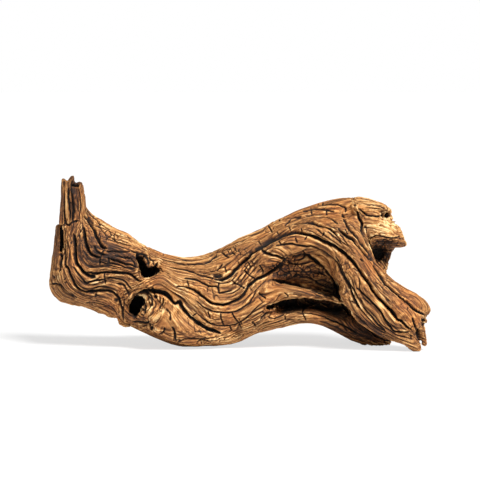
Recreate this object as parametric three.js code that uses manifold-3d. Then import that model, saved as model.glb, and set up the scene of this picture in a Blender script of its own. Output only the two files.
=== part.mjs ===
// A weathered piece of driftwood: one gnarled root that was worn by water and now lies on its belly, on the
// toe of its front leg and on the end of its rear root. It grew as one piece, so it is one closed solid.
// Millimetres, +Z up. The length runs along X, the broken spires are at -X, and the side with the leg
// faces -Y.
import * as THREE from 'three';
import { mergeVertices } from 'three/addons/utils/BufferGeometryUtils.js';
import Module from 'manifold-3d';

// Driving dimensions
const LENGTH = 396;              // overall length: the shape below is scaled to it
const TRIM_DEPTH = 40;           // height of the block that wears the underside flat
const TRUNK_SIDES = 20;          // sides of the trunk's section
const LIMB_SIDES = 14;           // sides of a limb's section
const SPLINTER_SIDES = 8;        // sides of a spike's or splinter's section
const RINGS_PER_STATION = 2;     // sections made between two neighbouring stations
const CAP_RINGS = 2;             // sections that round off each end
const FLUTE = 0.035;             // height of the flutes that run along a limb, as a share of its radius
const WOOD_COLOUR = 0xa9774a;
const WOOD_ROUGHNESS = 0.85;

const wasm = await Module();
wasm.setup();

// ---------------------------------------------------------------- limbs

// One value along a limb, smooth through its stations.
function smooth(values) {
  const points = values.map((value) => new THREE.Vector3(...value));
  const curve = new THREE.CatmullRomCurve3(points, false, 'catmullrom', 0.5);
  return (t) => curve.getPoint(t);
}

// The section of a limb at t: its centre, its half axis across the limb, and its half depth along Y.
function sectionAt(stations) {
  const edge = smooth(stations.map((station) => station[0]));
  const opposite = smooth(stations.map((station) => station[1]));
  const depth = smooth(stations.map((station) => [station[2], 0, 0]));
  return (t) => {
    const a = edge(t);
    const b = opposite(t);
    return {
      centre: a.clone().add(b).multiplyScalar(0.5),
      across: a.clone().sub(b).multiplyScalar(0.5),
      depth: depth(t).x,
    };
  };
}

// A closed, fluted tube through a row of stations. Each station holds two opposite edge points of the
// section and the section's half depth. `start` and `end` are the lengths of the rounded ends.
function limb(stations, { sides = LIMB_SIDES, start = 5, end = 5, flutes = 5, turn = 2 } = {}) {
  const section = sectionAt(stations);
  const count = (stations.length - 1) * RINGS_PER_STATION;
  const positions = [];

  const addRing = (t, shift, scale) => {
    const { centre, across, depth } = section(t);
    centre.add(shift);
    for (let side = 0; side < sides; side += 1) {
      const angle = (side / sides) * 2 * Math.PI;
      const radius = scale * (1 + FLUTE * Math.sin(flutes * angle + turn * t * Math.PI));
      positions.push(
        centre.x + across.x * Math.cos(angle) * radius,
        centre.y + across.y * Math.cos(angle) * radius + depth * Math.sin(angle) * radius,
        centre.z + across.z * Math.cos(angle) * radius,
      );
    }
  };
  const heading = (t0, t1) => section(t1).centre.sub(section(t0).centre).normalize();
  const back = heading(1 / count, 0).multiplyScalar(start);
  const forward = heading(1 - 1 / count, 1).multiplyScalar(end);
  const capAngle = (ring) => (ring / (CAP_RINGS + 1)) * Math.PI / 2;

  for (let ring = CAP_RINGS; ring >= 1; ring -= 1) {
    addRing(0, back.clone().multiplyScalar(Math.sin(capAngle(ring))), Math.cos(capAngle(ring)));
  }
  for (let ring = 0; ring <= count; ring += 1) addRing(ring / count, new THREE.Vector3(), 1);
  for (let ring = 1; ring <= CAP_RINGS; ring += 1) {
    addRing(1, forward.clone().multiplyScalar(Math.sin(capAngle(ring))), Math.cos(capAngle(ring)));
  }
  const rings = positions.length / 3 / sides;
  positions.push(...section(0).centre.add(back).toArray(), ...section(1).centre.add(forward).toArray());
  return solid(tube(positions, rings, sides));
}

// The faces of a tube of `rings` sections, whose two end points come last in `positions`.
function tube(positions, rings, sides) {
  const index = [];
  const startPole = rings * sides;
  for (let side = 0; side < sides; side += 1) {
    const next = (side + 1) % sides;
    index.push(startPole, next, side);
    for (let ring = 0; ring < rings - 1; ring += 1) {
      const here = ring * sides;
      const there = here + sides;
      index.push(here + side, here + next, there + side, here + next, there + next, there + side);
    }
    const last = (rings - 1) * sides;
    index.push(startPole + 1, last + side, last + next);
  }
  const geometry = new THREE.BufferGeometry();
  geometry.setAttribute('position', new THREE.Float32BufferAttribute(positions, 3));
  geometry.setIndex(index);
  return geometry;
}

function signedVolume(positions, index) {
  const [a, b, c] = [new THREE.Vector3(), new THREE.Vector3(), new THREE.Vector3()];
  let volume = 0;
  for (let i = 0; i < index.length; i += 3) {
    a.fromArray(positions, index[i] * 3);
    b.fromArray(positions, index[i + 1] * 3);
    c.fromArray(positions, index[i + 2] * 3);
    volume += a.dot(b.cross(c)) / 6;
  }
  return volume;
}

// A closed geometry as a solid that can be joined and cut, with its faces turned outwards.
function solid(geometry) {
  const positions = geometry.attributes.position.array;
  const index = Uint32Array.from(geometry.index.array);
  if (signedVolume(positions, index) < 0) index.reverse();
  return new wasm.Manifold(new wasm.Mesh({ numProp: 3, vertProperties: positions, triVerts: index }));
}

function join(solids) {
  return solids.reduce((whole, part) => whole.add(part));
}

// ---------------------------------------------------------------- the wood

// The trunk, from under the spires round the bend, along the belly and up to the head.
// Each station: upper or inner edge, lower or outer edge, half depth.
function trunk() {
  return limb([
    [[-165, 6, 149], [-189, 8, 127], 20],
    [[-159, 4, 140], [-197, 8, 104], 26],
    [[-153, 2, 135], [-200, 8, 81], 31],
    [[-146, 0, 131], [-201, 6, 62], 34],
    [[-139, -2, 127], [-190, 4, 48], 36],
    [[-130, -2, 122], [-167, 2, 42], 38],
    [[-118, -2, 118], [-142, 0, 32], 39],
    [[-102, -2, 107], [-114, -2, 20], 40],
    [[-84, 0, 98], [-87, -4, 7], 42],
    [[-62, 2, 94], [-62, -4, -2], 43],
    [[-40, 4, 96], [-37, -4, -1], 43],
    [[-20, 4, 104], [-12, -2, 1], 42],
    [[0, 4, 114.5], [10, 0, 10], 40],
    [[18, 6, 122.5], [27, 2, 22], 37],
    [[38, 8, 133], [42, 8, 56], 34],
    [[60, 10, 143], [62, 9, 58], 33],
    [[82, 10, 150], [85, 9, 57], 32],
    [[102, 10, 154.5], [108, 8, 54], 30],
    [[122, 8, 155.5], [126, 8, 70], 28],
    [[138, 8, 153], [140, 8, 96], 25],
    [[148, 8, 147], [147, 8, 108], 20],
  ], { sides: TRUNK_SIDES, start: 8, end: 3, flutes: 6, turn: 3 });
}

// The upper strand: it rises off the trunk, arches over the checked hollow and runs down the front leg to
// the toe.
function leg() {
  return limb([
    [[-22, -6, 97], [-14, -10, 70], 14],
    [[0, -8, 107], [6, -12, 76], 21],
    [[25, -12, 118], [28, -14, 78], 26],
    [[48, -14, 130], [45, -16, 87], 27],
    [[74, -14, 138], [62, -16, 94], 27],
    [[100, -17, 138], [80, -16, 97], 28],
    [[123, -22, 127], [91, -20, 89], 28],
    [[132, -28, 107], [95, -26, 76], 27],
    [[139, -32, 90], [99.5, -32, 60], 26],
    [[154, -36, 75], [106, -36, 46], 25],
    [[168, -38, 65], [119, -38, 29], 24],
    [[180, -40, 59], [143, -40, 15], 23],
    [[188, -40, 50], [158, -42, 9], 20],
    [[188, -40, 40], [170, -42, 6], 15],
  ], { sides: 18, end: 2, flutes: 5, turn: 1 });
}

// The low strand between the checked hollow and the dark slot.
function lowStrand() {
  return limb([
    [[-34, -8, 56], [-28, -8, 18], 22],
    [[-8, -10, 54], [4, -10, 14], 29],
    [[15, -12, 62], [25, -12, 25], 29],
    [[34, -12, 69], [41, -12, 46], 26],
    [[46, -12, 67], [48, -12, 49], 25],
    [[62, -12, 63.5], [63, -12, 51], 23],
    [[84, -12, 58.5], [85, -12, 50], 20],
    [[112, -10, 51], [112, -10, 43], 17],
  ]);
}

// The lower root, which leaves the belly under the slot and passes behind the leg.
function lowerRoot() {
  return limb([
    [[14, -4, 42], [20, -4, 15], 27],
    [[38, -2, 41], [41, -2, 20], 26],
    [[60, 0, 44], [61, 0, 25], 24],
    [[80, 2, 43], [79, 2, 23], 23],
    [[103, 6, 38], [95, 6, 16], 22],
    [[124, 10, 30], [117, 10, 4], 20],
    [[144, 14, 19], [137, 14, -3], 18],
    [[158, 16, 9], [152, 16, -3], 14],
  ], { flutes: 4, turn: 1, end: 3 });
}

// The strand that closes the back of the slot and ends beside the lower root.
function rearStrand() {
  return limb([
    [[-10, 14, 76], [2, 16, 16], 26],
    [[20, 18, 74], [26, 18, 24], 25],
    [[46, 20, 72], [48, 20, 32], 23],
    [[74, 23, 70], [72, 23, 32], 22],
    [[104, 26, 64], [98, 26, 26], 21],
    [[130, 31, 50], [118, 31, 12], 18],
    [[148, 35, 26], [136, 35, 3], 13],
  ], { flutes: 4, turn: 2 });
}

// The ridge that curls over the knots on the belly's left.
function knotRidge() {
  return limb([
    [[-142, -18, 54], [-132, -20, 40], 14],
    [[-127, -26, 68], [-113, -28, 51], 17],
    [[-106, -29, 80], [-98, -31, 59], 18],
    [[-82, -30, 82], [-82, -31, 60], 18],
    [[-60, -28, 72], [-71, -30, 52], 18],
    [[-42, -26, 54], [-56, -27, 34], 17],
    [[-28, -20, 40], [-40, -22, 22], 15],
  ], { sides: 12, flutes: 3 });
}

// The knot under that ridge, and the skirt of wood that runs from it along the belly.
function knot() {
  return limb([
    [[-99, -24, 46], [-99, -24, 28], 18],
    [[-90, -26, 53], [-91, -26, 18], 24],
    [[-78, -27, 51], [-79, -26, 11], 25],
    [[-64, -25, 42], [-66, -24, 6], 25],
    [[-44, -21, 30], [-46, -20, 3], 23],
    [[-22, -14, 22], [-26, -13, 4], 19],
  ], { sides: 14, flutes: 3 });
}

// A worn nub under the left of the belly.
function nub() {
  return limb([
    [[-128, -10, 40], [-128, -10, 24], 8],
    [[-121, -10, 40], [-121, -10, 20], 9],
    [[-116, -10, 38], [-116, -10, 22], 8],
  ], { sides: SPLINTER_SIDES, start: 2, end: 1, flutes: 2 });
}

// The head's two broken lobes and the wall behind them, round the dark hollow at the right.
function head() {
  const upperLobe = limb([
    [[118, 6, 153], [118, 4, 138], 24],
    [[136, 8, 153], [136, 6, 140], 22],
    [[149, 8, 149.5], [149, 6, 139], 19],
    [[156, 8, 144.5], [155, 8, 138.5], 14],
  ], { sides: 12, end: 1.5 });
  const notchBack = limb([
    [[126, 18, 146], [126, 18, 126], 12],
    [[144, 18, 143], [144, 18, 128], 11],
    [[157, 18, 140], [157, 18, 130], 7],
  ], { sides: 10, end: 1.5 });
  const tooth = limb([
    [[138, 2, 137], [140, 2, 126], 12],
    [[152, 3, 134], [152, 3, 127], 9],
    [[160, 4, 132.5], [160, 4, 129.5], 4],
  ], { sides: SPLINTER_SIDES, end: 1.5 });
  const middleLobe = limb([
    [[124, 4, 137], [126, 4, 104], 27],
    [[140, 6, 134], [142, 6, 105], 26],
    [[154, 8, 131.5], [155, 8, 104], 24],
    [[165, 10, 125], [167, 10, 103], 20],
    [[171, 12, 113], [172, 12, 104], 14],
  ], { sides: 14, end: 1.5, flutes: 4 });
  const rearWall = limb([
    [[168, 18, 112], [132, 18, 112], 15],
    [[158, 18, 98], [130, 18, 98], 14],
    [[155, 16, 86], [124, 15, 84], 15],
    [[153, 12, 76], [118, 10, 72], 16],
    [[150, -4, 60], [112, -6, 56], 15],
  ], { sides: 14, flutes: 4 });
  return join([upperLobe, notchBack, tooth, middleLobe, rearWall]);
}

// The spires: long splinters that stand up where the root broke off.
function spires() {
  const spikes = [
    [[[-186, -15, 122], [-188, -15, 122], 2], [[-181, -14, 134], [-190.5, -14, 131], 5.5],
      [[-181, -14, 156], [-188.5, -14, 156], 5.5], [[-181.5, -13, 173], [-188, -13, 175], 4.5]],
    [[[-168, -8, 108], [-186, -8, 108], 12], [[-170, -9, 134], [-183, -9, 134], 10],
      [[-172, -9, 158], [-183, -9, 158], 9], [[-173.5, -8, 170], [-183, -8, 170], 7.5],
      [[-174, -7, 177], [-180, -7, 177], 5]],
    [[[-158, -4, 114], [-178, -4, 108], 17], [[-162, -3, 142], [-176, -3, 136], 14],
      [[-163, -2, 158], [-175, -2, 158], 12], [[-166, -2, 171], [-174, -2, 169], 9]],
    [[[-166, 12, 126], [-186, 12, 122], 14], [[-170, 12, 146], [-184, 12, 146], 10],
      [[-172, 11, 162], [-181, 11, 162], 7], [[-175, 10, 170], [-179, 10, 170], 3]],
    [[[-158, 16, 122], [-174, 18, 120], 12], [[-163, 16, 138], [-173, 18, 138], 9],
      [[-165, 15, 152], [-170, 15, 152], 5]],
    [[[-185, 6, 78], [-199, 6, 78], 14], [[-185, 5, 104], [-198, 5, 104], 11],
      [[-185, 4, 118], [-196, 4, 118], 9], [[-187, 3, 125.5], [-195.5, 3, 125.5], 8]],
  ];
  return join(spikes.map((stations) => limb(stations, { sides: SPLINTER_SIDES, flutes: 3, end: 3 })));
}

// The toe's frayed fibres.
function toeSplinters() {
  const splinters = [
    [[[178, -44, 24], [160, -44, 9], 13], [[184, -45, 12], [171, -45, 3], 9],
      [[185, -46, 4], [178, -46, -3], 6]],
    [[[187, -36, 36], [173, -38, 24], 12], [[190, -36, 22], [182, -37, 17], 9],
      [[192, -36, 6], [185, -36, 6], 5]],
    [[[184, -34, 44], [177, -34, 29], 10], [[190, -33, 36], [184, -33, 28], 7],
      [[192, -33, 31], [189, -33, 27], 4]],
    [[[170, -38, 59], [162, -38, 44], 16], [[184, -38, 56], [177, -38, 39], 14],
      [[192, -38, 50], [186, -38, 35], 11], [[195, -38, 44], [190, -38, 35], 7]],
  ];
  return join(splinters.map((stations) => limb(stations, { sides: SPLINTER_SIDES, flutes: 3, end: 2 })));
}

// What grew at the back: a ridge from the spires along the trunk, the stub of a lost branch and a swelling.
function backGrowth() {
  const ridge = limb([
    [[-166, 18, 120], [-184, 20, 104], 14],
    [[-150, 26, 96], [-176, 26, 74], 16],
    [[-120, 30, 84], [-132, 30, 52], 16],
    [[-84, 30, 80], [-90, 30, 44], 17],
    [[-48, 28, 76], [-50, 28, 40], 18],
    [[-14, 26, 90], [-10, 24, 52], 18],
    [[22, 24, 110], [26, 24, 74], 18],
    [[60, 26, 126], [62, 26, 90], 17],
    [[98, 26, 132], [98, 26, 96], 15],
  ], { sides: 14, flutes: 3 });
  const stub = limb([
    [[-88, 24, 68], [-58, 24, 40], 16],
    [[-84, 38, 74], [-62, 38, 52], 13],
    [[-82, 48, 80], [-66, 48, 64], 9],
  ], { sides: 12, flutes: 4, end: 3 });
  return join([ridge, stub]);
}

// ---------------------------------------------------------------- the hollows

// The slot between the low strand and the lower root, blind at the back.
function slot() {
  return limb([
    [[28, -34, 46], [29, -34, 42], 10],
    [[42, -28, 50], [43, -28, 44], 26],
    [[62, -24, 52.5], [62, -24, 45.6], 36],
    [[84, -22, 52], [84, -22, 44.6], 36],
    [[99, -22, 49], [101, -22, 39], 32],
    [[112, -22, 45], [114, -22, 37], 24],
  ], { sides: 12, flutes: 2 });
}

// The hollow of the checked wood under the arch.
function checkedHollow() {
  return limb([
    [[48, -46, 88], [50, -46, 76], 16],
    [[66, -46, 92], [68, -46, 72], 27],
    [[86, -46, 86], [86, -46, 68], 31],
    [[102, -42, 72], [98, -42, 62], 26],
  ], { sides: 12, flutes: 3, start: 8, end: 6 });
}

// The two rotten knots at the left, each a blind hole.
function knotHoles() {
  const upright = limb([
    [[-105, -32, 94], [-100, -32, 96], 12],
    [[-106, -32, 86], [-99, -32, 86], 18],
    [[-105, -32, 77], [-96, -32, 77], 18],
  ], { sides: 10, start: 3, end: 3, flutes: 2 });
  const side = limb([
    [[-102, -32, 85], [-101, -32, 74], 18],
    [[-92, -32, 85], [-92, -32, 75], 16],
    [[-84, -34, 86], [-84, -34, 81], 10],
  ], { sides: 10, start: 3, end: 3, flutes: 2 });
  const lower = limb([
    [[-117, -38, 46], [-116, -38, 40], 14],
    [[-112, -38, 54], [-112, -38, 34], 25],
    [[-105, -38, 56], [-104, -38, 36], 26],
    [[-100, -38, 55], [-100, -38, 47], 14],
  ], { sides: 12, start: 2, end: 2, flutes: 3 });
  return join([upright, side, lower]);
}

// The hollow behind the leg's shoulder, open to the right.
function shoulderHollow() {
  return limb([
    [[128, -12, 105], [130, -12, 96], 10],
    [[138, -12, 108], [140, -12, 88], 17],
    [[152, -12, 107], [152, -12, 86], 20],
    [[180, -12, 104], [180, -12, 84], 20],
  ], { sides: 12, flutes: 3 });
}

// The split down the outside of the bend, beside the shortest spire.
function bendSplit() {
  return limb([
    [[-186, -16, 125], [-190.5, -16, 125], 17],
    [[-184.5, -18, 114], [-190, -18, 114], 20],
    [[-186, -20, 104], [-190, -20, 104], 20],
    [[-189, -24, 84], [-191, -24, 84], 18],
  ], { sides: 8, flutes: 2, end: 4 });
}

// The trough and the rotten hole at the back.
function backHollows() {
  const trough = limb([
    [[-30, 46, 44], [-24, 46, 30], 8],
    [[-4, 46, 52], [4, 46, 32], 16],
    [[26, 48, 78], [34, 48, 52], 17],
    [[60, 48, 92], [62, 48, 72], 14],
    [[88, 46, 94], [88, 46, 82], 8],
  ], { sides: 12, flutes: 3 });
  const hole = limb([
    [[-134, 46, 100], [-130, 46, 84], 12],
    [[-120, 44, 104], [-116, 44, 82], 22],
    [[-106, 44, 98], [-104, 44, 84], 14],
  ], { sides: 10, flutes: 3 });
  return join([trough, hole]);
}

// A block whose top is the surface the wood lies on: it wears the belly, the toe and the rear root flat.
function floorBlock() {
  const block = new THREE.BoxGeometry(2 * LENGTH, LENGTH, TRIM_DEPTH);
  block.translate(0, 0, -TRIM_DEPTH / 2);
  block.deleteAttribute('normal');
  block.deleteAttribute('uv');
  return solid(mergeVertices(block));
}

// ---------------------------------------------------------------- the piece

function driftwoodSolid() {
  const wood = join([
    trunk(), leg(), lowStrand(), lowerRoot(), rearStrand(), knotRidge(), knot(), nub(), head(),
    spires(), toeSplinters(), backGrowth(),
  ]);
  const hollows = join([slot(), checkedHollow(), knotHoles(), shoulderHollow(), bendSplit(), backHollows()]);
  return wood.subtract(hollows).subtract(floorBlock());
}

// The solid as a geometry, scaled to its length, with its origin under the middle of its box.
function toGeometry(body) {
  const mesh = body.getMesh();
  const geometry = new THREE.BufferGeometry();
  geometry.setAttribute('position', new THREE.BufferAttribute(mesh.vertProperties.slice(), 3));
  geometry.setIndex(new THREE.BufferAttribute(mesh.triVerts.slice(), 1));
  geometry.computeBoundingBox();
  const { min, max } = geometry.boundingBox;
  geometry.translate(-(min.x + max.x) / 2, -(min.y + max.y) / 2, -min.z);
  const scale = LENGTH / (max.x - min.x);
  geometry.scale(scale, scale, scale);
  return geometry;
}

function driftwood() {
  const material = new THREE.MeshStandardMaterial({
    color: WOOD_COLOUR,
    roughness: WOOD_ROUGHNESS,
    metalness: 0,
  });
  const mesh = new THREE.Mesh(toGeometry(driftwoodSolid()), material);
  mesh.name = 'driftwood';
  return mesh;
}

const part = new THREE.Group();
part.add(driftwood());

export default part;
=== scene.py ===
"""Weathered driftwood, 396 mm long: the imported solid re-surfaced with strands, cracks, checks and knots that
follow its grain. Lengths are in millimetres until a mesh or an object is made."""
import math

import bmesh
import bpy
import numpy as np
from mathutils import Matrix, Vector
from mathutils.bvhtree import BVHTree
from mathutils.kdtree import KDTree


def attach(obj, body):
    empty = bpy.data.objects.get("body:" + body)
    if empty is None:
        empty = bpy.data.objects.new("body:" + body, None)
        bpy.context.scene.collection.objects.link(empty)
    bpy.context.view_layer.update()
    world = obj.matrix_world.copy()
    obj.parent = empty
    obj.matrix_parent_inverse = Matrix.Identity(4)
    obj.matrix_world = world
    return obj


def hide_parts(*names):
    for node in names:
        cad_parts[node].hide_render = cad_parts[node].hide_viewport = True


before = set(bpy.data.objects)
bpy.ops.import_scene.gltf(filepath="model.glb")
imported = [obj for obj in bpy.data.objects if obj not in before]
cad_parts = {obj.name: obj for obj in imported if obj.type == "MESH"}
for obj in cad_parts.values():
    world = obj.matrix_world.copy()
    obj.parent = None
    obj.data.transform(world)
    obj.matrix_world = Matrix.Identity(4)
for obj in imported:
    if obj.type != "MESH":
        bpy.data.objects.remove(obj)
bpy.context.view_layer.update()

NODE = "driftwood"
MM = 0.001

# The main camera looks at the front from a little above. The drawing plane (u, w) is what it sees: u to the
# right and w up.
CAMERA_RISE = math.radians(4.0)
CAMERA_AWAY = 2500.0
CAMERA_LENS = 180.2
AIM = (1.4, 0.0, 111.4)
PLANE_Z, PLANE_U, PLANE_W = 90.0, -1.1, 94.2

# Lamps: direction they shine towards, strength, and spread in degrees.
LAMPS = {"key": ((-0.45, 0.62, -0.85), 5.1, 20), "fill": ((0.75, 0.45, -0.35), 0.6, 60)}
WHITE = (1.0, 1.0, 1.0, 1.0)

# The skin: the size of its quads, and its smoothing, with less of it where the wood is thin.
VOXEL = 1.45
SMOOTH_TURNS, SWELL_TURNS = 14, 10
SMOOTH, SWELL, THIN_SPARED = 0.55, 0.57, 0.92

# The spires lie left of SPIRE_SIDE: heights from which they count as thin, and from which they are grey.
SPIRE_SIDE, SPIRE_THIN, SPIRE_GREY = -150, (118, 130), (126, 140)
# The torn end of the head: where it counts as thin, and where its ledges begin across and upwards.
HEAD_THIN, TORN_RIGHT, TORN_UP = (150, 162), (150, 166), (98, 106)
# The short spire at the far left, and the toe of the front leg.
PLANK_LEFT, PLANK_UP = (-184, -190), (90, 102)
TOE_RIGHT, TOE_DOWN = (178, 184), (26, 18)

# Openness, which sets the painted shade in hollows: the rays from each point of a coarser skin, how far they
# reach, and the size of its quads.
SKY_RAYS, SKY_REACH, SKY_VOXEL = 32, 32.0, 3.0

# The grid that the bent sheets are worked out on, and the unit that they bend in.
GRID_STEP, GRID_LOW, GRID_SHAPE = 2.0, np.array([-240.0, -40.0]), (241, 131)
SHEET_UNIT = 100.0

# Drawn curves: the step between their points, how far they sway and over what distance.
CURVE_STEP, CURVE_SWAY, CURVE_SWAY_SIZE = 1.5, 0.45, 4.0

# How squarely the skin faces the front where the drawing begins, and where it has its full strength.
FRONT = (0.0, 0.32)
# Openness at which a hollow is painted black as shade, and at which it gets no painted shade.
HOLLOW = (0.10, 0.66)
# How hollow the inside of a hole is.
INSIDE = (0.25, 0.6)
# The share of the random splits and blocks that is left off where the front is drawn.
DRAWN_INSTEAD = 0.75

# Strands: height, distances across and along the grain over which they change, and seed.
STRANDS = ((1.5, 15.0, 150.0, 21), (0.8, 7.0, 90.0, 22))
# Grooves between them: distances across and along, width, depth, darkness of their painted shade and seed.
GROOVES = (
    (6.0, 95.0, 0.11, 1.6, 0.70, 41), (3.4, 60.0, 0.15, 0.9, 0.55, 42), (2.1, 40.0, 0.17, 0.45, 0.45, 43),
)
# Splits and the slopes beside them, breaks across the grain, small blocks, ledges and fibre ends.
SPLIT_WIDTH, SPLIT_DEPTH, SLOPE_WIDTH, SLOPE_DEPTH = 0.075, 3.4, 0.22, 1.2
BREAK_WIDTH, BREAK_DEPTH = 0.09, 1.1
BLOCK_STRENGTH, BLOCK_RISE, BLOCK_DEPTH = (0.15, 0.6), 0.9, 1.6
LEDGE_RISE, FIBRE_RISE = 1.3, 0.22

# Drawn cracks: how far they reach, how fast their ends taper, and how uneven their width is.
CRACK_REACH, CRACK_TAPER, CRACK_UNEVEN = 16.0, 8.0, 0.35
# The valley on both sides of a crack: its share of the crack's depth, how far it reaches, how dark its painted
# shade may be.
VALLEY_SHARE, VALLEY_REACH, VALLEY_MOST = 0.32, 4.0, 1.4

# Relief for the material's painted shade in hollows and painted highlight on ridges: how often the height is
# blurred, and how far above it counts as 1.
BLUR_TURNS, RELIEF_FULL = 22, 1.1

# The material's textures: what they lie on, how fine they are on its three axes, their detail and roughness.
TEXTURES = {
    "fibre": ("grain", (0.60, 0.60, 0.013), 5.0, 0.62),
    "fine": ("grain", (1.8, 1.8, 0.045), 4.0, 0.65),
    "grit": ("place", (420.0,) * 3, 3.0, 0.6),
    "cloud": ("place", (32.0,) * 3, 3.0, 0.55),
    "hair": ("grain", (0.30, 0.30, 0.008), 1.5, 0.5),
    "hair_patches": ("grain", (0.06, 0.06, 0.02), 2.0, 0.6),
    "tick": ("grain", (0.10, 0.10, 0.17), 1.0, 0.5),
    "tick_patches": ("grain", (0.11, 0.11, 0.05), 2.0, 0.6),
}
# Hairline cracks and ticks: width, the value at which their patches begin, how sharply, and darkness.
HAIR, TICK = (0.022, 0.38, 6.0, 0.62), (0.014, 0.55, 9.0, 0.70)
# What makes the wood paler or darker, about its middle, with painted shade and highlight in the relief and the
# tone. Textures count from their own middle.
WOOD_MIDDLE = 0.485
WOOD_WEIGHTS = {"fibre": 1.30, "fine": 0.80, "grit": 0.20, "relief_shading": 0.50, "tone_and_painted_light": 0.55, "rough": -0.10}
WOOD_COLOURS = (
    (0.00, (36, 18, 8)), (0.24, (98, 59, 28)), (0.46, (156, 103, 54)), (0.68, (204, 149, 86)),
    (0.95, (246, 212, 154)),
)
CLOUD_COLOURS, CLOUD_SHARE = ((0.30, (255, 226, 190)), (0.55, (255, 255, 255)), (0.75, (245, 236, 228))), 0.8
GREY_COLOUR, GREY_SHARE = (205, 200, 195), 0.7
# Hairline colour, then the near-black painted shade of cracks, holes and hollows and its power.
HAIR_COLOUR, CRACK_SHADE_COLOUR, CRACK_POWER = (36, 18, 9), (12, 6, 3), 1.1

# Lines that the grain follows, each with its level: how far across the wood it lies, from underside to top.
GRAIN = (
    (0, (-195,130), (-199,95), (-200,72), (-190,57), (-165,48), (-140,38), (-112,26), (-86,13), (-62,5),
     (-35,5), (-12,7), (10,14), (30,24), (60,30), (85,26), (105,18), (125,9), (150,3)),
    (10, (-189,101), (-191,83), (-187,69), (-175,58), (-163,51), (-145,47), (-128,40), (-105,30)),
    (8, (-72,52), (-66,38), (-55,25), (-40,17), (-20,13), (0,17), (25,29)),
    (10, (60,38), (88,34), (110,24), (135,13), (152,9)),
    (18, (-186,110), (-187,80), (-182,66), (-172,57), (-163,53), (-150,51), (-138,49), (-128,42),
     (-122,34)),
    (18, (-112,48), (-108,55), (-100,61), (-92,63), (-84,61), (-74,57), (-67,50), (-60,45), (-52,36),
     (-42,28), (-30,22), (-20,18.5), (0,24), (15,30), (35,37), (58,47), (79,47), (92,42), (111,40)),
    (30, (32,48), (47,53), (71,54), (92,54), (111,50)),
    (32, (-83,76), (-60,62), (-45,50), (-35,42), (-20,36), (0,38), (12,45), (25,55)),
    (36, (-183,175), (-182.5,150), (-183,131), (-183,110), (-182,90), (-177,80), (-170,66), (-160,61),
     (-145,62), (-132,60.5), (-125,50)),
    (39, (68,65), (76,62), (84,58), (98,54)),
    (44, (-65,67.5), (-55,67.5), (-45,63), (-35,55), (-25,49), (-12,49), (0,54.5), (7,63), (16,74),
     (25,78.5), (41,86), (47,83), (60,79), (77,72), (88,66), (100,63)),
    (48, (-175,175), (-173,150), (-176,110), (-175,88), (-168,76), (-160,70.5), (-150,74), (-135,74.5),
     (-120,74), (-112,66)),
    (49, (78,95), (90,80), (98,67), (105,56), (112,46), (120,38), (128,30), (136,22), (146,14), (158,10)),
    (55, (-80,85), (-64,76), (-50,76), (-35,70), (-20,62), (-8,61), (3,68), (8,78)),
    (58, (-168,170), (-166,140), (-173,121), (-172,100), (-167,87), (-160,80), (-152,78), (-142,82),
     (-122,81), (-107,75)),
    (57, (110,75), (116,60), (124,47), (132,42), (142,34), (154,22), (165,12)),
    (63, (50,95), (66,98.5), (82,97), (97,86), (107,75), (120,60), (135,48), (150,33), (161,20), (176,16)),
    (70, (-75,88), (-56,85.5), (-38,79), (-26,76), (-14,77), (-4,87), (5,95), (15,105.5), (30,115),
     (45,121.5), (60,124.5), (75,120), (90,112.5), (105,104), (118,92), (130,78), (140,62), (154,46),
     (164,33), (179,20)),
    (76, (-163,130), (-160.5,113), (-155,101.5), (-145,98), (-130,92), (-118,88), (-110,86)),
    (84, (-95,99), (-82,93), (-70,91), (-50,87), (-38,90), (-25,98)),
    (84, (20,116), (38,127), (55,133), (70,135), (85,131), (97,125), (110,114), (124,100), (138,82),
     (150,63), (165,44), (183,22)),
    (86, (-161,140), (-154,132), (-149,121), (-143,110), (-132,106), (-118,102)),
    (90, (40,134), (60,141), (80,140), (95,136), (107,130), (118,117), (132,104), (145,84), (156,68),
     (172,50), (190,30)),
    (95, (-78,98), (-64,95), (-48,94.5), (-34,96.5), (-24,103), (0,113), (25,124), (50,137)),
    (96, (84,150), (108,148), (124,139), (128,126), (133,114), (141,98), (149,86), (160,72), (180,54),
     (194,40)),
    (100, (-160,149), (-150,140), (-136,131), (-116,122), (-102,110), (-88,103), (-70,97), (-57,97),
     (-40,99.5), (-21,106), (-5,115), (22,126), (48,141), (65,149), (81,155), (100,160), (121,160.5)),
    (100, (150,92), (158,82), (168,72), (180,65), (193,57)),
)

# Lines across the grain, each with how far along the wood it lies.
RIBS = (
    (0, (-190,178), (-165,178)), (30, (-189,148), (-161,150)), (52, (-192,128), (-172,130), (-153,138)),
    (75, (-198,100), (-182,105), (-165,113), (-138,128)),
    (100, (-199,72), (-184,80), (-165,92), (-140,104), (-117,119)),
    (125, (-184,55), (-170,66), (-152,78), (-130,92), (-108,108)),
    (155, (-150,42), (-138,60), (-125,80), (-104,104)), (185, (-112,27), (-106,50), (-98,75), (-90,102)),
    (220, (-78,10), (-70,40), (-63,70), (-58,96)), (260, (-35,5), (-31,35), (-26,70), (-23,104)),
    (295, (5,12), (3,38), (-2,70), (-9,112)), (330, (34,26), (30,58), (20,92), (8,120)),
    (365, (62,32), (58,60), (50,105), (42,138)), (400, (90,30), (84,60), (82,105), (82,155)),
    (430, (114,20), (98,70), (104,108), (114,150)), (460, (140,8), (112,55), (124,84), (142,104)),
    (490, (126,36), (138,54), (152,76)), (520, (144,20), (154,38), (168,60)),
    (550, (166,6), (178,22), (192,38)),
)

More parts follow.
